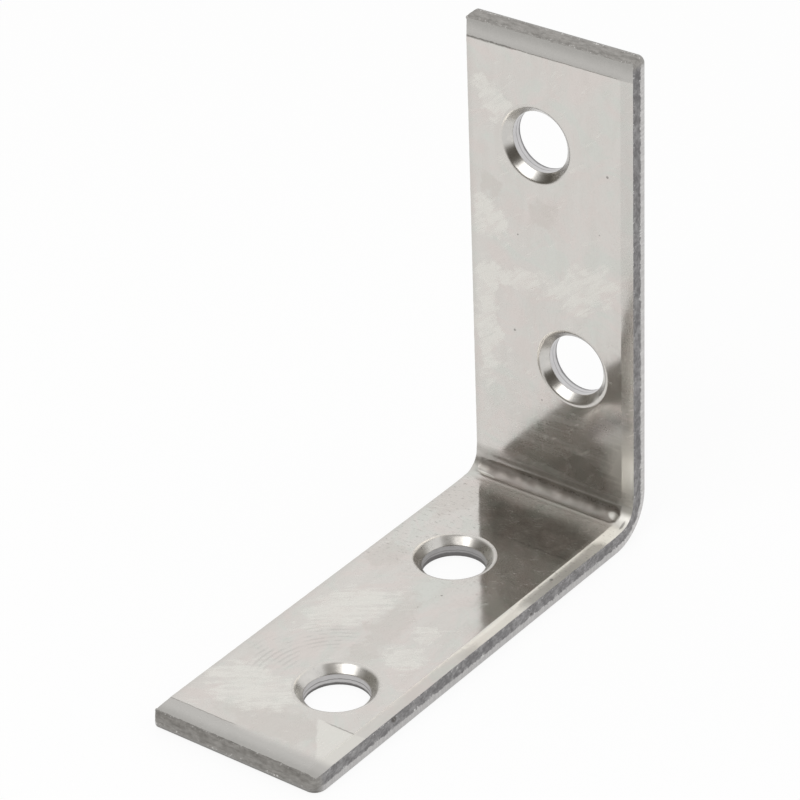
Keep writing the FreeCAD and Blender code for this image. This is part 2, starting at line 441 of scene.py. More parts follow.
def buildBlank():
    blank = FlatBlank()
    nearSide, topRun, farSide, tipRun, rows = rimStations()
    stations = nearSide + topRun + farSide + tipRun
    inner, outer = buildRim(blank, stations)
    places = {round(station.s, 5): k for k, station in enumerate(nearSide)}
    farFirst = len(nearSide) + len(topRun)
    farPlaces = {round(station.s, 5): farFirst + k for k, station in enumerate(farSide)}
    ends = [(places[round(s, 5)], farPlaces[round(s, 5)]) for s in rows]

    crease = nearX - strip["sideBorder"]
    dipAt = crease + strip["dipWidth"]
    across = spread(-nearX + 0.35, crease, strip["bandStep"]) + [dipAt] + spread(crease + 0.3, nearX - 0.2, 0.3)
    innerBand, outerBand = [], []
    for (near, far), s in zip(ends, rows):
        middle = [blank.point(x, s, faceDepth(x, s) + grooveDepth(x, s)) for x in across]
        innerBand.append([inner[far]] + middle + [inner[near]])
        middle = [blank.point(x, s, strip["stock"]) for x in spread(-nearX + 0.8, nearX - 0.8, 0.8)]
        outerBand.append([outer[far]] + middle + [outer[near]])
    for band in (innerBand, outerBand):
        for first, second in zip(band, band[1:]):
            blank.ladder(first, second, finish["rolled"])

    holes = [buildHole(blank, middle) for middle in holeMiddles]
    (nearLow, farLow), (nearHigh, farHigh) = ends[0], ends[-1]
    footRing = list(range(farLow, len(stations))) + list(range(0, nearLow + 1))
    uprightRing = list(range(nearHigh, farHigh + 1))
    for ring, bandRow, onFoot in ((footRing, 0, True), (uprightRing, -1, False)):
        band = innerBand[bandRow][1:-1]
        loop = [inner[k] for k in ring] + (band[::-1] if onFoot else band)
        border = strip["tipBorder" if onFoot else "topBorder"]
        sideStart = bandStart if onFoot else bandEnd

        def along(x, inset):
            s = inset if onFoot else blankLength - inset
            return blank.point(x, s, faceDepth(x, s))

        stepTop, stepFoot = [], []
        for x in spread(-nearX + 0.45, nearX - 0.35, 0.35):
            stepTop.append(along(x, border + creaseShift(x)))
            stepFoot.append(along(x, border + creaseShift(x) - strip["stepWidth"]))
        sideEnd = border + 0.3 if onFoot else blankLength - border - 0.3
        sideLines = [[blank.point(x, s, faceDepth(x, s)) for s in spread(sideStart, sideEnd, 0.8)]
                     for x in (crease, dipAt)]
        lines = [stepTop, stepFoot] + sideLines + [[along(*spot)] for spot in pressedPoints(onFoot)]
        mine = [top for top, _ in holes if (top[1].y < footRun) == onFoot]
        blank.fill(loop, lines, mine, faceDepth, finish["rolled"])
        band = outerBand[bandRow][1:-1]
        loop = [outer[k] for k in ring] + (band[::-1] if onFoot else band)
        mine = [back for _, back in holes if (back[1].y < footRun) == onFoot]
        blank.fill(loop, [], mine, lambda x, s: strip["stock"], finish["rolled"])
    return blank


def putInScene(name, data):
    thing = bpy.data.objects.new(name, data)
    bpy.context.scene.collection.objects.link(thing)
    return thing


holeMiddles, boreRadius = holesFromRecord()
blank = buildBlank()
blankMesh = bpy.data.meshes.new("flatBlank")
blankMesh.from_pydata([Vector(p) * mm for p in blank.points], [], blank.faces)
blankMesh.polygons.foreach_set("use_smooth", blank.smooth)
blankMesh.attributes.new("zone", "INT", "FACE").data.foreach_set("value", blank.finishes)
blankMesh.attributes.new("blankAt", "FLOAT_VECTOR", "POINT").data.foreach_set(
    "vector", [value for p in blank.points for value in p])
shell = bmesh.new()
shell.from_mesh(blankMesh)
bmesh.ops.recalc_face_normals(shell, faces=shell.faces)
openEdges = sum(1 for edge in shell.edges if len(edge.link_faces) != 2)
if shell.calc_volume(signed=True) < 0:
    bmesh.ops.reverse_faces(shell, faces=shell.faces)
print("blank", len(shell.verts), "points", len(shell.faces), "faces", openEdges, "open edges, volume",
      round(shell.calc_volume() / mm ** 3, 1))
shell.to_mesh(blankMesh)
shell.free()


# finishes

def newMaterial(name):
    material = bpy.data.materials.new(name)
    material.use_nodes = True
    material.node_tree.nodes.clear()
    return material, Bench(material.node_tree)


def blankPlace(bench):  # millimetres on the flat blank, so marks follow the fold
    return bench.add("ShaderNodeAttribute", {"attribute_name": "blankAt"}, out="Vector")


def closeSteel(bench, colour, roughness, height, haze, hazeRoughness):
    # a close reflection with a wider haze over it; height is in millimetres
    normal = bench.add("ShaderNodeBump", {}, {"Strength": 1.0, "Distance": mm, "Height": height})
    close, wide = (bench.add("ShaderNodeBsdfPrincipled", {},
                             {"Base Color": colour, "Metallic": 1.0, "Roughness": rough, "Normal": normal})
                   for rough in (roughness, hazeRoughness))
    both = bench.add("ShaderNodeMixShader", {}, {0: haze, 1: close, 2: wide})
    bench.add("ShaderNodeOutputMaterial", {}, {"Surface": both})


def patchMask(bench, place, middle, halfSize, turn, soft):  # an oval on the blank, 1 inside
    spot = bench.seenFrom(place, (*middle, 0.0)[:3], turn, (*halfSize, 1000.0)[:3])
    return bench.ramp(bench.vectors("LENGTH", spot, out="Value"), 1.0 + soft / 2, 1.0 - soft / 2)


rolled = {
    "colour": (0.655, 0.632, 0.6, 1), "warm": (0.675, 0.62, 0.59, 1), "cool": (0.625, 0.64, 0.6, 1),
    "pale": (0.75, 0.735, 0.69, 1), "dull": (0.59, 0.555, 0.52, 1),
    "pressed": (0.51, 0.497, 0.475, 1), "pressedRim": (0.42, 0.41, 0.39, 1),
    "mark": (0.12, 0.11, 0.1, 1), "shadow": (0.055, 0.038, 0.02, 1),
    "roughness": 0.085, "haze": 0.11, "hazeRoughness": 0.42,
    "strokeTurn": 38, "strokeSize": (2.6, 0.5, 1.0),
    "pull": 5.0, "nudge": 1.2,  # how far the patches' outlines are drawn about
    # rubbed patches: middle across and along, half sizes, turn
    "palePatches": [
        ((-7.3, upAt(18.6)), (1.5, 6.8), 0), ((-4.0, upAt(23.9)), (3.8, 1.5), 8),
        ((3.4, upAt(25.2)), (4.2, 2.2), 24), ((-6.9, upAt(29.4)), (1.9, 2.0), 0),
        ((-4.4, upAt(40.6)), (0.9, 2.4), 35), ((-6.6, upAt(42.0)), (1.4, 2.6), 30),
        ((-3.9, 7.6), (5.0, 3.2), -8), ((4.5, 18.3), (2.0, 1.9), 30), ((4.2, 22.3), (1.5, 1.2), 0),
        ((-4.5, 22.0), (3.0, 5.0), -20),
    ],
    "dullPatches": [
        ((-0.9, upAt(31.6)), (1.8, 1.6), 0), ((0.8, 4.6), (5.6, 2.7), 4), ((-6.6, upAt(33.0)), (1.3, 1.7), 30),
        ((0.4, 21.0), (1.6, 6.5), 8), ((-7.0, 42.5), (1.8, 3.5), 0), ((-6.9, 31.0), (1.4, 2.6), 10),
    ],
    "dots": [  # middle, half sizes
        ((6.3, upAt(37.4)), (0.13, 0.13)), ((-4.15, upAt(18.5)), (0.12, 0.12)), ((1.4, 28.3), (0.1, 0.1)),
        ((0.7, 25.6), (0.06, 0.06)), ((8.1, 36.0), (0.17, 0.17)), ((8.6, 46.8), (0.13, 0.5)),
        ((-1.2, upAt(11.9)), (0.08, 0.08)), ((5.4, upAt(31.3)), (0.06, 0.06)),
        ((-3.6, upAt(28.7)), (0.08, 0.08)),
    ],
    "wedge": (0.802, 0.598, 7.17), "wedgeTop": 7.0,  # a pale corner by the tip: its slanted side
    "scratchAt": 39.4, "creaseAt": 6.95, "pitsAt": (27.0, 33.0),  # along the foot
    "sootAt": 0.62, "lipAt": -0.78,  # from the middle of the fold
    # of these marks, lip and step are painted shade lines; the rest are the steel's own marks
    "markAmounts": {"soot": 0.7, "scratch": 0.6, "lip": 0.4, "pits": 0.3, "crease": 0.5, "step": 1.0, "dots": 0.6},
    "shadeFoot": (35.5, 40.5), "shadeFootEnd": (45.8, 43.4), "shadeUp": (upAt(5.0), upAt(3.9)),  # darker by the fold
    "shadeSlope": 0.78, "shadeStart": 2.0, "shadeLeft": (0.2, 2.0),
    "shadeAmounts": {"foot": 0.42, "up": 0.35, "lip": 0.14, "bowl": 0.56},
    # hazier patches with painted light, the colour drawn towards pale: middle, half sizes, turn, amount
    "hazyPatches": [
        ((8.3, upAt(7.6)), (2.2, 3.0), 0, 0.75), ((6.3, upAt(11.8)), (2.2, 0.8), 18, 0.07),
        ((7.2, 45.0), (1.6, 1.6), 0, 0.25), ((8.6, 49.6), (0.6, 3.4), 0, 0.5),
    ],
    "glints": [((-7.1, 47.03), (0.8, 0.13), -4), ((7.3, 47.42), (0.62, 0.3), -14)],  # bright ends of the groove
    "ringPitch": 0.58, "ringZones": [((-5.3, 12.4), (2.4, 2.6), 0), ((-3.2, 17.4), (3.0, 2.2), -20)],
    "lowUp": (upAt(17.0), upAt(9.0)),  # the upright is duller below this
    "footLean": 0.2, "foldLean": 0.14,  # slopes that turn the side border outward
}


def rolledSteel():
    material, bench = newMaterial("rolledSteel")
    place, ramp, most = blankPlace(bench), bench.ramp, bench.most
    across, along, level = bench.axes(place)
    fromFar, sideWidth = across + nearX, strip["sideBorder"]
    inner = ramp(-level, 0.9, 0.7)
    foot = bench.maths("LESS_THAN", along, footRun)
    patchy = bench.noise(place, 0.5, 5.0, 0.6, 0.6)
    tint = bench.noise(place, 0.2, 3.0, 0.6, 1.5)
    grain = bench.noise(place, 3.2, 4.0, 0.7)
    streaky = bench.noise(place, (0.55, 0.2, 1.0), 4.0, 0.6, 0.8)
    fine = bench.noise(place, (7.0, 0.8, 1.0), 3.0, 0.6)
    strokes = bench.noise(bench.seenFrom(place, (0, 0, 0), rolled["strokeTurn"], rolled["strokeSize"]),
                          1.0, 3.0, 0.6, 0.5)
    patchOff, strokeOff, grainOff = patchy - 0.5, strokes - 0.5, grain - 0.5

    # rubbed and dull patches, their outlines pulled about
    pull = bench.vectors("SUBTRACT", bench.noise(place, 0.45, 4.0, 0.65, out="Color"), (0.5, 0.5, 0.5))
    pulled, nudged = (bench.vectors("MULTIPLY_ADD", pull, (rolled[name], rolled[name], 0.0), place)
                      for name in ("pull", "nudge"))
    pale, dull = (most(*(patchMask(bench, pulled, *patch, 0.9) for patch in rolled[name]))
                  for name in ("palePatches", "dullPatches"))
    wedgeX, wedgeS, wedgeAt = rolled["wedge"]
    wedge = ramp(wedgeX * across + wedgeS * along + 0.6 * patchOff, wedgeAt - 0.1, wedgeAt + 0.15) * \
        ramp(along, rolled["wedgeTop"] + 0.1, rolled["wedgeTop"] - 0.1)
    pale = ramp(pale + 1.5 * strokeOff + 0.9 * patchOff, 0.3, 1.0) * ramp(strokes + patchy, 0.85, 1.1, 0.55, 1.0)
    loose = ramp(strokes, 0.56, 0.68) * ramp(patchy, 0.42, 0.6)  # stray rubbed strokes
    pale = most(inner * most(pale, 0.9 * wedge), 0.6 * loose)
    dull = inner * (1 - wedge) * ramp(dull + 1.2 * patchOff + 0.6 * strokeOff, 0.3, 1.0)
    colour = bench.paint(rolled["colour"], (ramp(tint, 0.5, 0.62, 0.0, 0.7), rolled["warm"]),
                         (ramp(tint, 0.47, 0.36, 0.0, 0.7), rolled["cool"]),
                         (ramp(streaky, 0.35, 0.7, 0.0, 0.3), rolled["dull"]),
                         (0.6 * dull, rolled["dull"]), (0.8 * pale, rolled["pale"]))

    # pressed borders: greyer towards the rim, with a painted shade line in the step
    wander = 0.25 * (bench.noise(place, (0.8, 0.0, 0.0), 4.0, 0.6) - 0.5)
    endInset = foot * along + (1 - foot) * (blankLength - along) + wander
    endWidth = strip["topBorder"] + foot * (strip["tipBorder"] - strip["topBorder"])
    sideInset = nearX - across + wander
    softer = foot * ramp(across, -3.0, 0.5)  # by the tip the step fades out towards the near side
    end = inner * ramp(endInset, endWidth + 0.06 + 0.6 * softer, endWidth - 0.1 - 0.7 * softer)
    side = inner * ramp(sideInset, sideWidth + 0.12, sideWidth - 0.15)
    footSide = side * ramp(along, 48.6, 46.2)
    rim = ramp(endInset + 0.8 * patchOff, 1.5, 0.4)
    border = most(end, side * (0.28 - 0.2 * foot))
    colour = bench.paint(colour, (border, rolled["pressed"]),
                         (footSide * (1 - end) * ramp(along, 16.0, 28.0, 0.1, 0.9), rolled["pale"]),
                         (0.3 * inner * ramp(fromFar, 1.0, 0.1), rolled["pressed"]),
                         (end * rim, rolled["pressedRim"]))
    stepWide = 0.07 + 0.07 * ramp(across, -3.2, -4.2) * (1 - foot)
    stepFade = foot * ramp(across, -1.2, -1.9, 0.0, 0.42) + \
        (1 - foot) * ramp(across, -3.2, -4.2, 0.45, 0.62) * ramp(across, 8.2, -2.0, 0.35, 1.0)
    # painted shade: a dark line along the pressed step
    step = inner * stepFade * ramp(grain, 0.36, 0.5, 0.45, 1.0) * \
        bench.near(endInset - endWidth + 0.12 * grainOff, stepWide, 0.4 * stepWide)

    # dark marks: soot in the nose groove, a scratch across the foot, a short crease, pits and dots, with painted shade
    # lines along the groove's lip and in the pressed step
    middle = footRun + foldRun / 2
    toGroove = along + groove["slant"] * fromFar - middle
    offSide = ramp(sideInset, sideWidth, sideWidth + 0.6)
    rightPart = ramp(across, -4.5, -2.5)
    lipWander = 0.5 * (bench.noise(place, (0.3, 0.0, 0.0), 2.0, 0.5) - 0.5)
    pitNoise = bench.noise(place, (1.7, 4.08, 1.7), 3.0, 0.65)
    masks = {
        "soot": bench.near(toGroove - rolled["sootAt"] - 0.7 * grainOff, 0.2, 0.05) * ramp(grain, 0.44, 0.62) *
            ramp(sideInset, sideWidth + 0.1, sideWidth + 0.5) * rightPart,
        "scratch": bench.near(along - rolled["scratchAt"] - 0.45 * grainOff, 0.2, 0.05) *
            ramp(across, -1.5, 4.0) * ramp(grain, 0.38, 0.62) * ramp(sideInset, 1.2, 1.6),
        "crease": bench.near(along - rolled["creaseAt"] - 0.25 * grainOff, 0.12, 0.03) *
            ramp(across, 4.4, 5.6) * ramp(sideInset, 1.1, 1.4),
        # painted shade: a dark line along the groove's lower lip
        "lip": bench.near(toGroove - rolled["lipAt"] + lipWander, 0.11, 0.03) * ramp(fromFar, 0.9, 1.6) * offSide,
        "pits": foot * ramp(along, *rolled["pitsAt"]) * ramp(pitNoise, 0.56, 0.68),
    }
    masks = {name: inner * mask for name, mask in masks.items()}
    masks["step"] = step
    masks["dots"] = most(*(patchMask(bench, place, *dot, 0.0, 0.8) for dot in rolled["dots"]))
    marks = most(*(amount * masks[name] for name, amount in rolled["markAmounts"].items()))

    # shade towards the fold and in the groove, with a glint at each end of the groove
    amounts = rolled["shadeAmounts"]
    shade = ramp(fromFar - rolled["shadeSlope"] * (footRun + rolled["shadeStart"] - along),
                 *rolled["shadeLeft"]) * offSide
    onFoot = amounts["foot"] * ramp(along, *rolled["shadeFoot"]) * ramp(along, *rolled["shadeFootEnd"])
    aboveGroove = amounts["up"] * ramp(toGroove, 0.8, 1.0) * ramp(along, *rolled["shadeUp"])
    lowerLip = amounts["lip"] * ramp(toGroove, -2.6, -1.8) * ramp(toGroove, -0.75, -0.9)
    shade = inner * shade * (lowerLip + most(onFoot, aboveGroove) * (0.55 + 0.9 * grain))
    inGroove = inner * ramp(sideInset, sideWidth - 0.25, sideWidth) * ramp(fromFar, 0.45, 1.1)
    bowl = inGroove * bench.near(toGroove, 0.8, 0.6) * \
        (ramp(toGroove, -0.5, 0.15, 0.32, 0.54) + ramp(across, -1.0, 4.0, 0.0, 0.14))
    upperBowl = inGroove * ramp(toGroove, 0.15, 0.5) * ramp(toGroove - 0.2 * rightPart, 1.0, 0.86)
    shade = most(shade, bowl, amounts["bowl"] * upperBowl) * ramp(patchy, 0.3, 0.7, 1.15, 0.85)
    glint = most(*(patchMask(bench, place, *spot, 1.0) for spot in rolled["glints"]))
    # painted light: the glints and these patches draw the colour towards pale, and add haze
    hazeAndPaintedLight = inner * most(glint, *(amount * patchMask(bench, nudged, *patch, 1.3)
                                 for *patch, amount in rolled["hazyPatches"]))
    colour = bench.paint(colour, (shade * (1 - glint), rolled["shadow"]),
                         (bench.maths("MINIMUM", hazeAndPaintedLight * 1.6, 1.0), rolled["pale"]), (marks, rolled["mark"]))

    # rings left by the countersinking round the outer hole
    outerHole = min(holeMiddles, key=lambda spot: spot.y)
    away = bench.vectors("DISTANCE", bench.stretch(place, (1, 1, 0)), (*outerHole, 0.0), out="Value")
    rings = ramp(bench.maths("SINE", away * (2 * math.pi / rolled["ringPitch"]) + 4.0 * patchOff), -0.2, 1.0)
    rings = rings * most(*(patchMask(bench, place, *spot, 0.8) for spot in rolled["ringZones"]))
    colour = bench.blend(0.32 * rings * ramp(patchy, 0.4, 0.56), colour, rolled["pressedRim"])

    bend = inner * bench.near(along - middle, 2.6, 1.5)
    specks = ramp(bench.noise(place, (2.4, 5.6, 4.0), 3.0, 0.6), 0.6, 0.74) * \
        ramp(patchy, 0.42, 0.6) * (0.3 + 0.7 * foot)
    bands = ramp(bench.noise(place, (0.12, 1.0, 0.0), 3.0, 0.6, 0.4), 0.4, 0.65)
    lowUp = (1 - foot) * ramp(along, *rolled["lowUp"])
    haze = rolled["haze"] + hazeAndPaintedLight + 0.12 * ramp(patchy, 0.4, 0.75) + 0.08 * ramp(fine, 0.5, 0.75) + 0.25 * pale + \
        0.25 * bend + 0.45 * border + 0.75 * footSide + 0.55 * specks + (0.03 + 0.18 * bands) * lowUp
    roughness = rolled["roughness"] + 0.03 * ramp(streaky, 0.4, 0.7) + 0.16 * bend + 0.14 * border + \
        0.05 * lowUp + 0.4 * footSide + 0.4 * bowl

    # relief, with the side border turned outward over two stretches of the foot and one just above the fold
    swell = bench.noise(place, (0.1, 0.34, 0.0), 1.0, 0.4)
    footLean = footSide * most(ramp(along, 20.0, 25.0) * ramp(along, 32.0, 29.5),
                               ramp(along, 42.4, 44.0) * ramp(along, 47.3, 45.2))
    foldLean = side * ramp(along, 49.0, 52.0) * ramp(along, 55.0, 52.6)
    leaning = (rolled["footLean"] * footLean + rolled["foldLean"] * foldLean) * most(sideWidth - sideInset, 0.0)
    height = 0.022 * swell + 0.0006 * fine + 0.006 * bend * grain - 0.004 * step - leaning
    closeSteel(bench, colour, roughness, height, bench.maths("MINIMUM", haze, 0.9), rolled["hazeRoughness"])
    return material


sheared = {
    "torn": (0.25, 0.24, 0.225, 1), "tornPale": (0.42, 0.405, 0.385, 1),
    "sideTorn": (0.19, 0.184, 0.186, 1), "sideTornPale": (0.37, 0.362, 0.362, 1),
    "spots": [((9.05, 11.0, -0.35), (0.5, 0.28, 0.25)), ((9.05, 31.5, -0.9), (0.5, 0.16, 0.12))],
    "land": (0.52, 0.508, 0.5, 1), "landPale": (0.63, 0.618, 0.61, 1), "endLand": (0.36, 0.35, 0.335, 1),
    "burr": (0.82, 0.81, 0.79, 1),
    "roughness": 0.5, "haze": 0.3, "hazeRoughness": 0.6,
}


def shearedSteel():
    material, bench = newMaterial("shearedSteel")
    place, ramp, most = blankPlace(bench), bench.ramp, bench.most
    _, along, level = bench.axes(place)
    depth = -level
    end = ramp(bench.maths("MINIMUM", along, blankLength - along), 1.2, 0.5)
    jag = bench.noise(place, (2.4, 2.4, 0.72), 4.0, 0.7)
    landStart = strip["nearBreak"] + end * (strip["endBreak"] - strip["nearBreak"])
    past = depth - landStart + 0.6 * (jag - 0.5)
    land = ramp(past, -0.04, 0.06)
    grit = bench.noise(place, (2.2, 2.2, 4.84), 5.0, 0.68)
    streaks = bench.noise(place, (0.78, 2.6, 4.16), 5.0, 0.68)
    blotch = bench.noise(place, 0.9, 4.0, 0.65)
    atTop = ramp(along, footRun, blankLength)
    torn = bench.blend(ramp(0.3 * grit + 0.7 * streaks + 0.05 * atTop, 0.34, 0.7),
                       sheared["torn"], sheared["tornPale"])
    sideTorn = bench.blend(ramp(0.5 * grit + 0.5 * blotch, 0.38, 0.66),
                           sheared["sideTorn"], sheared["sideTornPale"])
    torn = bench.blend(end, sideTorn, torn)
    rubbed = bench.noise(place, (6.0, 6.0, 0.5), 3.0, 0.6)
    footPart = ramp(along, footRun + 1.0, footRun - 3.0)
    smooth = bench.paint(sheared["land"], (ramp(rubbed, 0.3, 0.7), sheared["landPale"]),
                         (end * ramp(depth, 1.9, 1.65), sheared["endLand"]),
                         (0.22 * footPart, sheared["sideTorn"]))
    colour = bench.blend(land, torn, smooth)
    for spot, size in sheared["spots"]:
        colour = bench.blend(0.8 * patchMask(bench, place, spot, size, 0.0, 0.6), colour, rolled["mark"])
    speckle = bench.noise(place, 5.5, 2.0, 0.5)
    burrs = most(ramp(speckle, 0.62, 0.7) * ramp(depth, 0.6, 0.1),
                 ramp(speckle, 0.52, 0.62) * ramp(blotch, 0.48, 0.6) * bench.near(past, 0.16, 0.04))
    colour = bench.blend(0.85 * burrs, colour, sheared["burr"])
    roughness = sheared["roughness"] - 0.22 * land * (1 - 0.7 * end) - 0.25 * burrs
    height = 0.03 * (1 - land) * grit + 0.003 * land * rubbed
    closeSteel(bench, colour, roughness, height, sheared["haze"], sheared["hazeRoughness"])
    return material


pierced = {
    "cone": (0.60, 0.585, 0.56, 1), "conePale": (0.68, 0.66, 0.63, 1),
    "wall": (0.6, 0.592, 0.596, 1), "wallTorn": (0.26, 0.253, 0.256, 1), "wallLine": (0.38, 0.372, 0.375, 1),
    "wallPale": (0.86, 0.85, 0.86, 1),
    "lineAt": 1.28, "tornAt": (1.6, 1.75),  # depths in the wall
    "outerHole": (24.0, 22.0),  # its wall is paler, up to here along the foot
    "roughness": 0.2, "haze": 0.14, "hazeRoughness": 0.45,
    # painted reflections on the countersinks, lighter and darker sectors standing in for reflected light and shade;
    # holes in order from the tip to the top: angle, half angle, amount; minus is darker
    "sectors": [
        [(35, 38, 0.35), (238, 28, 0.3), (133, 11, -0.45)],
        [(30, 34, 0.4), (128, 15, -0.5), (86, 9, -0.3), (185, 14, 0.25)],
        [(55, 50, -0.4), (222, 11, -0.4), (310, 14, 0.15)],
        [(30, 40, -0.3), (128, 24, 0.3), (214, 13, -0.45), (285, 10, -0.4)],
    ],
    "sectorSoft": 8, "sectorReach": (4.6, 4.2),
}


def sectorMask(bench, place, hole, angle, halfAngle):  # part of the ring round a hole
    offset = bench.vectors("SUBTRACT", bench.stretch(place, (1, 1, 0)), (*hole, 0.0))
    toward = (math.cos(math.radians(angle)), math.sin(math.radians(angle)), 0.0)
    facing = bench.vectors("DOT_PRODUCT", bench.vectors("NORMALIZE", offset), toward, out="Value")
    edges = (math.cos(math.radians(halfAngle + soft)) for soft in (pierced["sectorSoft"], -pierced["sectorSoft"]))
    away = bench.vectors("LENGTH", offset, out="Value")
    return bench.ramp(facing, *edges) * bench.ramp(away, *pierced["sectorReach"])


def piercedSteel():
    material, bench = newMaterial("piercedSteel")
    place, ramp, most = blankPlace(bench), bench.ramp, bench.most
    _, along, level = bench.axes(place)
    depth = -level
    patchy = bench.noise(place, 1.1, 5.0, 0.65)
    wavyDepth = depth + 0.2 * (bench.noise(place, 1.3, 3.0, 0.6) - 0.5)
    # painted light and painted shade round the countersinks, taken from the sectors
    paintedConeLight, paintedConeShade = [], []
    for hole, sectors in zip(sorted(holeMiddles, key=lambda spot: spot.y), pierced["sectors"]):
        for angle, halfAngle, amount in sectors:
            (paintedConeLight if amount > 0 else paintedConeShade).append(abs(amount) * sectorMask(bench, place, hole, angle, halfAngle))
    paintedConeLight, paintedConeShade = most(*paintedConeLight), most(*paintedConeShade)
    uneven = ramp(patchy, 0.3, 0.6, 0.8, 1.15)
    wall = ramp(depth, sink["depth"] - 0.02, sink["depth"] + 0.1)
    line = bench.near(wavyDepth - pierced["lineAt"], 0.07, 0.02)
    footPart = ramp(along, footRun + 1.0, footRun - 1.0)
    outerPart = ramp(along, *pierced["outerHole"])
    torn = ramp(wavyDepth + 0.2 * footPart - 0.15 * outerPart, *pierced["tornAt"])
    wallColour = bench.paint(pierced["wall"], (0.12 * footPart + 0.5 * (patchy - 0.45), pierced["wallTorn"]),
                             (0.8 * outerPart, pierced["wallPale"]))
    colour = bench.paint(pierced["cone"], (ramp(patchy, 0.35, 0.7), pierced["conePale"]),
                         (paintedConeShade * uneven, rolled["shadow"]),
                         (bench.maths("MINIMUM", 1.5 * paintedConeLight, 1.0), rolled["pale"]),
                         (ramp(depth, 0.1, 0.02), rolled["colour"]), (wall, wallColour),
                         (wall * line, pierced["wallLine"]), (wall * torn, pierced["wallTorn"]))
    roughness = pierced["roughness"] + 0.03 * footPart + 0.1 * patchy + 0.15 * torn + 0.08 * wall
    turned = bench.noise(place, (0.6, 0.6, 6.0), 2.0, 0.5)
    height = (0.004 * bench.noise(place, 1.1, 2.0, 0.5) + 0.003 * turned) * ramp(depth, 0.1, 0.4)
    haze = pierced["haze"] + 0.1 * footPart * ramp(patchy, 0.4, 0.6) + 0.3 * torn + 0.25 * wall * footPart + \
        paintedConeLight * uneven * (1 - wall)
    closeSteel(bench, colour, roughness, height, haze, pierced["hazeRoughness"])
    return material


steels = {"rolled": rolledSteel(), "sheared": shearedSteel(), "pierced": piercedSteel()}
print("finishes made:", ", ".join(material.name for material in steels.values()))


# the fold

fold = {
    "Foot run": footRun, "Inside radius": strip["foldInside"], "Outside radius": strip["foldOutside"],
    "Stock": strip["stock"], "Axis forward": foldAxis.x, "Axis up": foldAxis.y,
}


def foldTree():
    tree = bpy.data.node_groups.new("foldStrip", "GeometryNodeTree")
    tree.interface.new_socket("Geometry", in_out="INPUT", socket_type="NodeSocketGeometry")
    for name in fold:
        tree.interface.new_socket(name, in_out="INPUT", socket_type="NodeSocketFloat")
    tree.interface.new_socket("Geometry", in_out="OUTPUT", socket_type="NodeSocketGeometry")
    bench = Bench(tree)
    blankIn = bench.add("NodeGroupInput", {}, {}, "Geometry")
    run, inside, outside, stock, axisY, axisZ = (blankIn.also(name) for name in fold)
    across, along, level = bench.axes(bench.add("GeometryNodeInputPosition"))
    turn = bench.maths("MINIMUM", bench.most((along - run) / inside, 0.0), math.pi / 2)
    rest = along - run - inside * turn
    sine, cosine = bench.maths("SINE", turn), bench.maths("COSINE", turn)
    skinY = axisY + inside * sine + rest * cosine
    skinZ = axisZ - inside * cosine + rest * sine
    outerY, outerZ = axisY + inside + stock - outside, axisZ - inside - stock + outside
    awayY = bench.most(skinY - outerY, 0.0)
    awayZ = bench.maths("MINIMUM", skinZ - outerZ, 0.0)
    toward = awayY * sine - awayZ * cosine
    wall = bench.maths("SQRT", toward * toward - awayY * awayY - awayZ * awayZ + outside * outside) - toward
    sunk = -level * wall / stock
    folded = bench.add("ShaderNodeCombineXYZ", {}, {"X": across, "Y": skinY + sine * sunk, "Z": skinZ - cosine * sunk})
    shape = bench.add("GeometryNodeSetPosition", {}, {"Geometry": blankIn, "Position": folded})
    shape = bench.add("GeometryNodeRealizeInstances", {}, {"Geometry": shape})
    zoneHere = bench.add("GeometryNodeInputNamedAttribute", {"data_type": "INT"}, {"Name": "zone"}, "Attribute")
    for name, material in steels.items():
        chosen = bench.maths("COMPARE", zoneHere, float(finish[name]), 0.5)
        shape = bench.add("GeometryNodeSetMaterial", {}, {"Geometry": shape, "Selection": chosen, "Material": material})
    bench.add("NodeGroupOutput", {}, {"Geometry": shape})
    return tree


blankMesh.materials.append(steels["rolled"])
flatStrip = putInScene("flatStrip", blankMesh)
folder = flatStrip.modifiers.new("foldStrip", "NODES")
folder.node_group = foldTree()
for item in folder.node_group.interface.items_tree:
    if item.in_out == "INPUT" and item.name in fold:
        folder[item.identifier] = fold[item.name] * mm
bpy.context.view_layer.update()
graph = bpy.context.evaluated_depsgraph_get()
foldedMesh = bpy.data.meshes.new_from_object(flatStrip.evaluated_get(graph))
flatStrip.modifiers.remove(folder)
bpy.data.objects.remove(flatStrip)
foldedMesh.name = "cornerBrace"
foldedMesh.set_sharp_from_angle(angle=math.radians(strip["sharpAngle"]))
foldedMesh.polygons.foreach_set("use_smooth", blank.smooth)  # the flat stretches stay flat
cornerBrace = putInScene("cornerBrace", foldedMesh)
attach(cornerBrace, "root" if "root" in frame["bodies"] else next(iter(frame["bodies"])))
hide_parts("corner_brace")
print("brace folded:", len(foldedMesh.polygons), "faces,", [m.name for m in foldedMesh.materials])


# the studio

studio = {
    "bright": (1.0, 1.0, 1.0, 1), "dark": (0.152, 0.14, 0.118, 1),
    "darkBearing": -12.0,
    "darkSide": (-0.31, 0.26),  # cosine of the bearing from there, where the dark part fades in
    "darkLow": (0.0, 0.09), "darkHigh": (0.48, 0.96),  # sine of the height where it starts and ends
    "softboxBearing": -2.0, "softboxHeight": 50.0, "softboxAway": 0.5, "softboxSize": 0.35, "softboxWatts": 0.77,
    "floorSize": 6.0, "floorColour": (0.93, 0.93, 0.93, 1), "floorGlow": 0.9, "floorGlowInMetal": 0.85,
    "underFoot": ((0.0092, 0.0086), (0.0254, 0.0245)), "throughHole": 0.5, "floorDrop": 0.00002,
}


def towards(bearing, height):  # a direction by bearing from the front and height, in degrees
    turn, lift = math.radians(bearing), math.radians(height)
    return Vector((math.sin(turn) * math.cos(lift), -math.cos(turn) * math.cos(lift), math.sin(lift)))


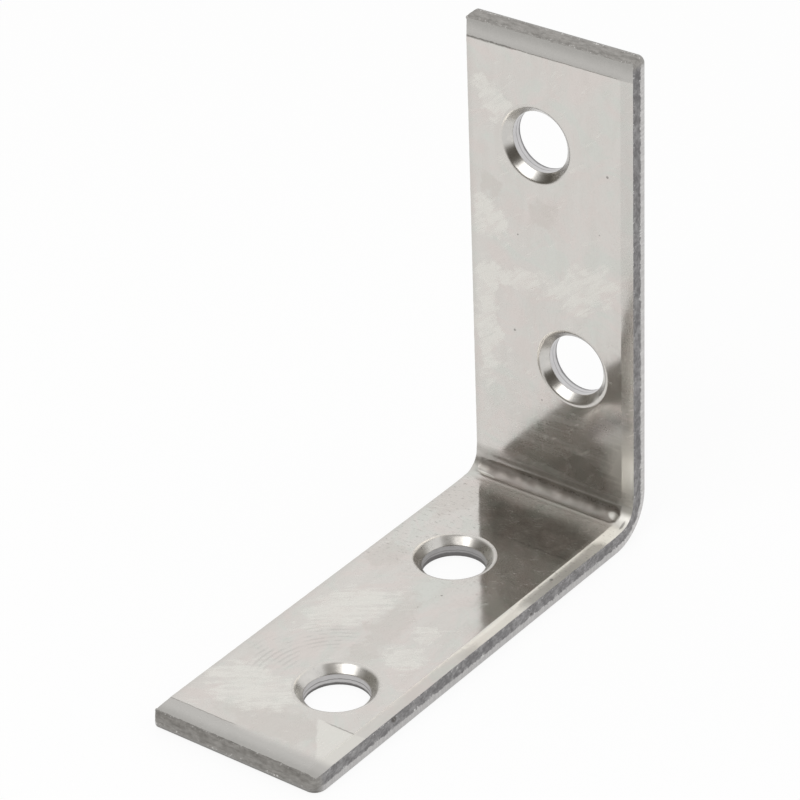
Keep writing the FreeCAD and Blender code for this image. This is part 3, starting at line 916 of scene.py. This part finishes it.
def makeWorld():
    world = bpy.data.worlds.new("studioWorld")
    world.use_nodes = True
    world.node_tree.nodes.clear()
    bench = Bench(world.node_tree)
    x, y, z = bench.axes(bench.add("ShaderNodeTexCoord", out="Generated"))
    ahead = towards(studio["darkBearing"], 0.0)
    front = (x * ahead.x + y * ahead.y) / bench.maths("SQRT", x * x + y * y + 1e-6)
    dark = bench.ramp(front, *studio["darkSide"]) * bench.ramp(z, *studio["darkLow"]) * \
        bench.ramp(z, *studio["darkHigh"], 1.0, 0.0)
    seen = bench.add("ShaderNodeLightPath", out="Is Camera Ray")
    colour = bench.blend(dark * (1 - seen), studio["bright"], studio["dark"])
    background = bench.add("ShaderNodeBackground", {}, {"Color": colour, "Strength": 1.0})
    bench.add("ShaderNodeOutputWorld", {}, {"Surface": background})
    bpy.context.scene.world = world


def makeFloor():
    half = studio["floorSize"] / 2
    mesh = bpy.data.meshes.new("floor")
    mesh.from_pydata([(-half, -half, 0), (half, -half, 0), (half, half, 0), (-half, half, 0)], [], [(0, 1, 2, 3)])
    mesh.transform(Matrix.Translation((0, 0, -studio["floorDrop"])))
    floor = putInScene("floor", mesh)
    material, bench = newMaterial("floorPaper")
    matt = bench.add("ShaderNodeBsdfDiffuse", {}, {"Color": studio["floorColour"]})
    rays = bench.add("ShaderNodeLightPath", out="Is Camera Ray")
    x, y, _ = bench.axes(bench.add("ShaderNodeTexCoord", out="Object"))
    acrossUnder, alongUnder = studio["underFoot"]  # painted shadow: in the metal the paper under the foot glows dark
    under = bench.near(x, *acrossUnder) * bench.near(y, *alongUnder)
    for middle in holeMiddles:  # the painted shadow is lighter under its holes
        if middle.y < footRun:
            offX, offY = x - middle.x * mm, y - (middle.y + nodeLow.y) * mm
            under = under * bench.ramp(bench.maths("SQRT", offX * offX + offY * offY),
                                       boreRadius * 0.9 * mm, boreRadius * 1.1 * mm, studio["throughHole"])
    inMetal = rays.also("Is Glossy Ray")
    glow = bench.add("ShaderNodeEmission", {}, {"Color": bench.blend(inMetal * under, (1, 1, 1, 1), studio["dark"])})
    share = rays * studio["floorGlow"] + inMetal * studio["floorGlowInMetal"]
    both = bench.add("ShaderNodeMixShader", {}, {0: share, 1: matt, 2: glow})
    bench.add("ShaderNodeOutputMaterial", {}, {"Surface": both})
    mesh.materials.append(material)


def makeSoftbox():
    lamp = bpy.data.lights.new("softbox", "AREA")
    lamp.shape, lamp.size, lamp.energy = "SQUARE", studio["softboxSize"], studio["softboxWatts"]
    softbox = putInScene("softbox", lamp)
    aim = towards(studio["softboxBearing"], studio["softboxHeight"])
    softbox.location = aim * studio["softboxAway"]
    softbox.rotation_mode = "QUATERNION"
    softbox.rotation_quaternion = aim.to_track_quat("Z", "Y")


view = {
    "aim": (0.271, -0.271, 24.067), "away": 333.76,
    "bearing": 38.04, "height": 31.03, "roll": 2.2,
    "lens": 172.64, "sensor": 36.0, "clip": (0.01, 50.0),
}


def makeCamera():
    back = towards(view["bearing"], view["height"])
    level = Vector((0, 0, 1)).cross(back).normalized()
    upright = back.cross(level)
    roll = math.radians(view["roll"])
    right = level * math.cos(roll) - upright * math.sin(roll)
    data = bpy.data.cameras.new("camera")
    data.lens, data.sensor_width, data.sensor_fit = view["lens"], view["sensor"], "HORIZONTAL"
    data.clip_start, data.clip_end = view["clip"]
    camera = putInScene("camera", data)
    turned = Matrix((right, back.cross(right), back)).transposed().to_4x4()
    camera.matrix_world = Matrix.Translation((Vector(view["aim"]) + back * view["away"]) * mm) @ turned
    bpy.context.scene.camera = camera


makeWorld()
makeFloor()
makeSoftbox()
makeCamera()
bpy.context.scene.view_settings.view_transform = "Standard"
print("studio and camera set")
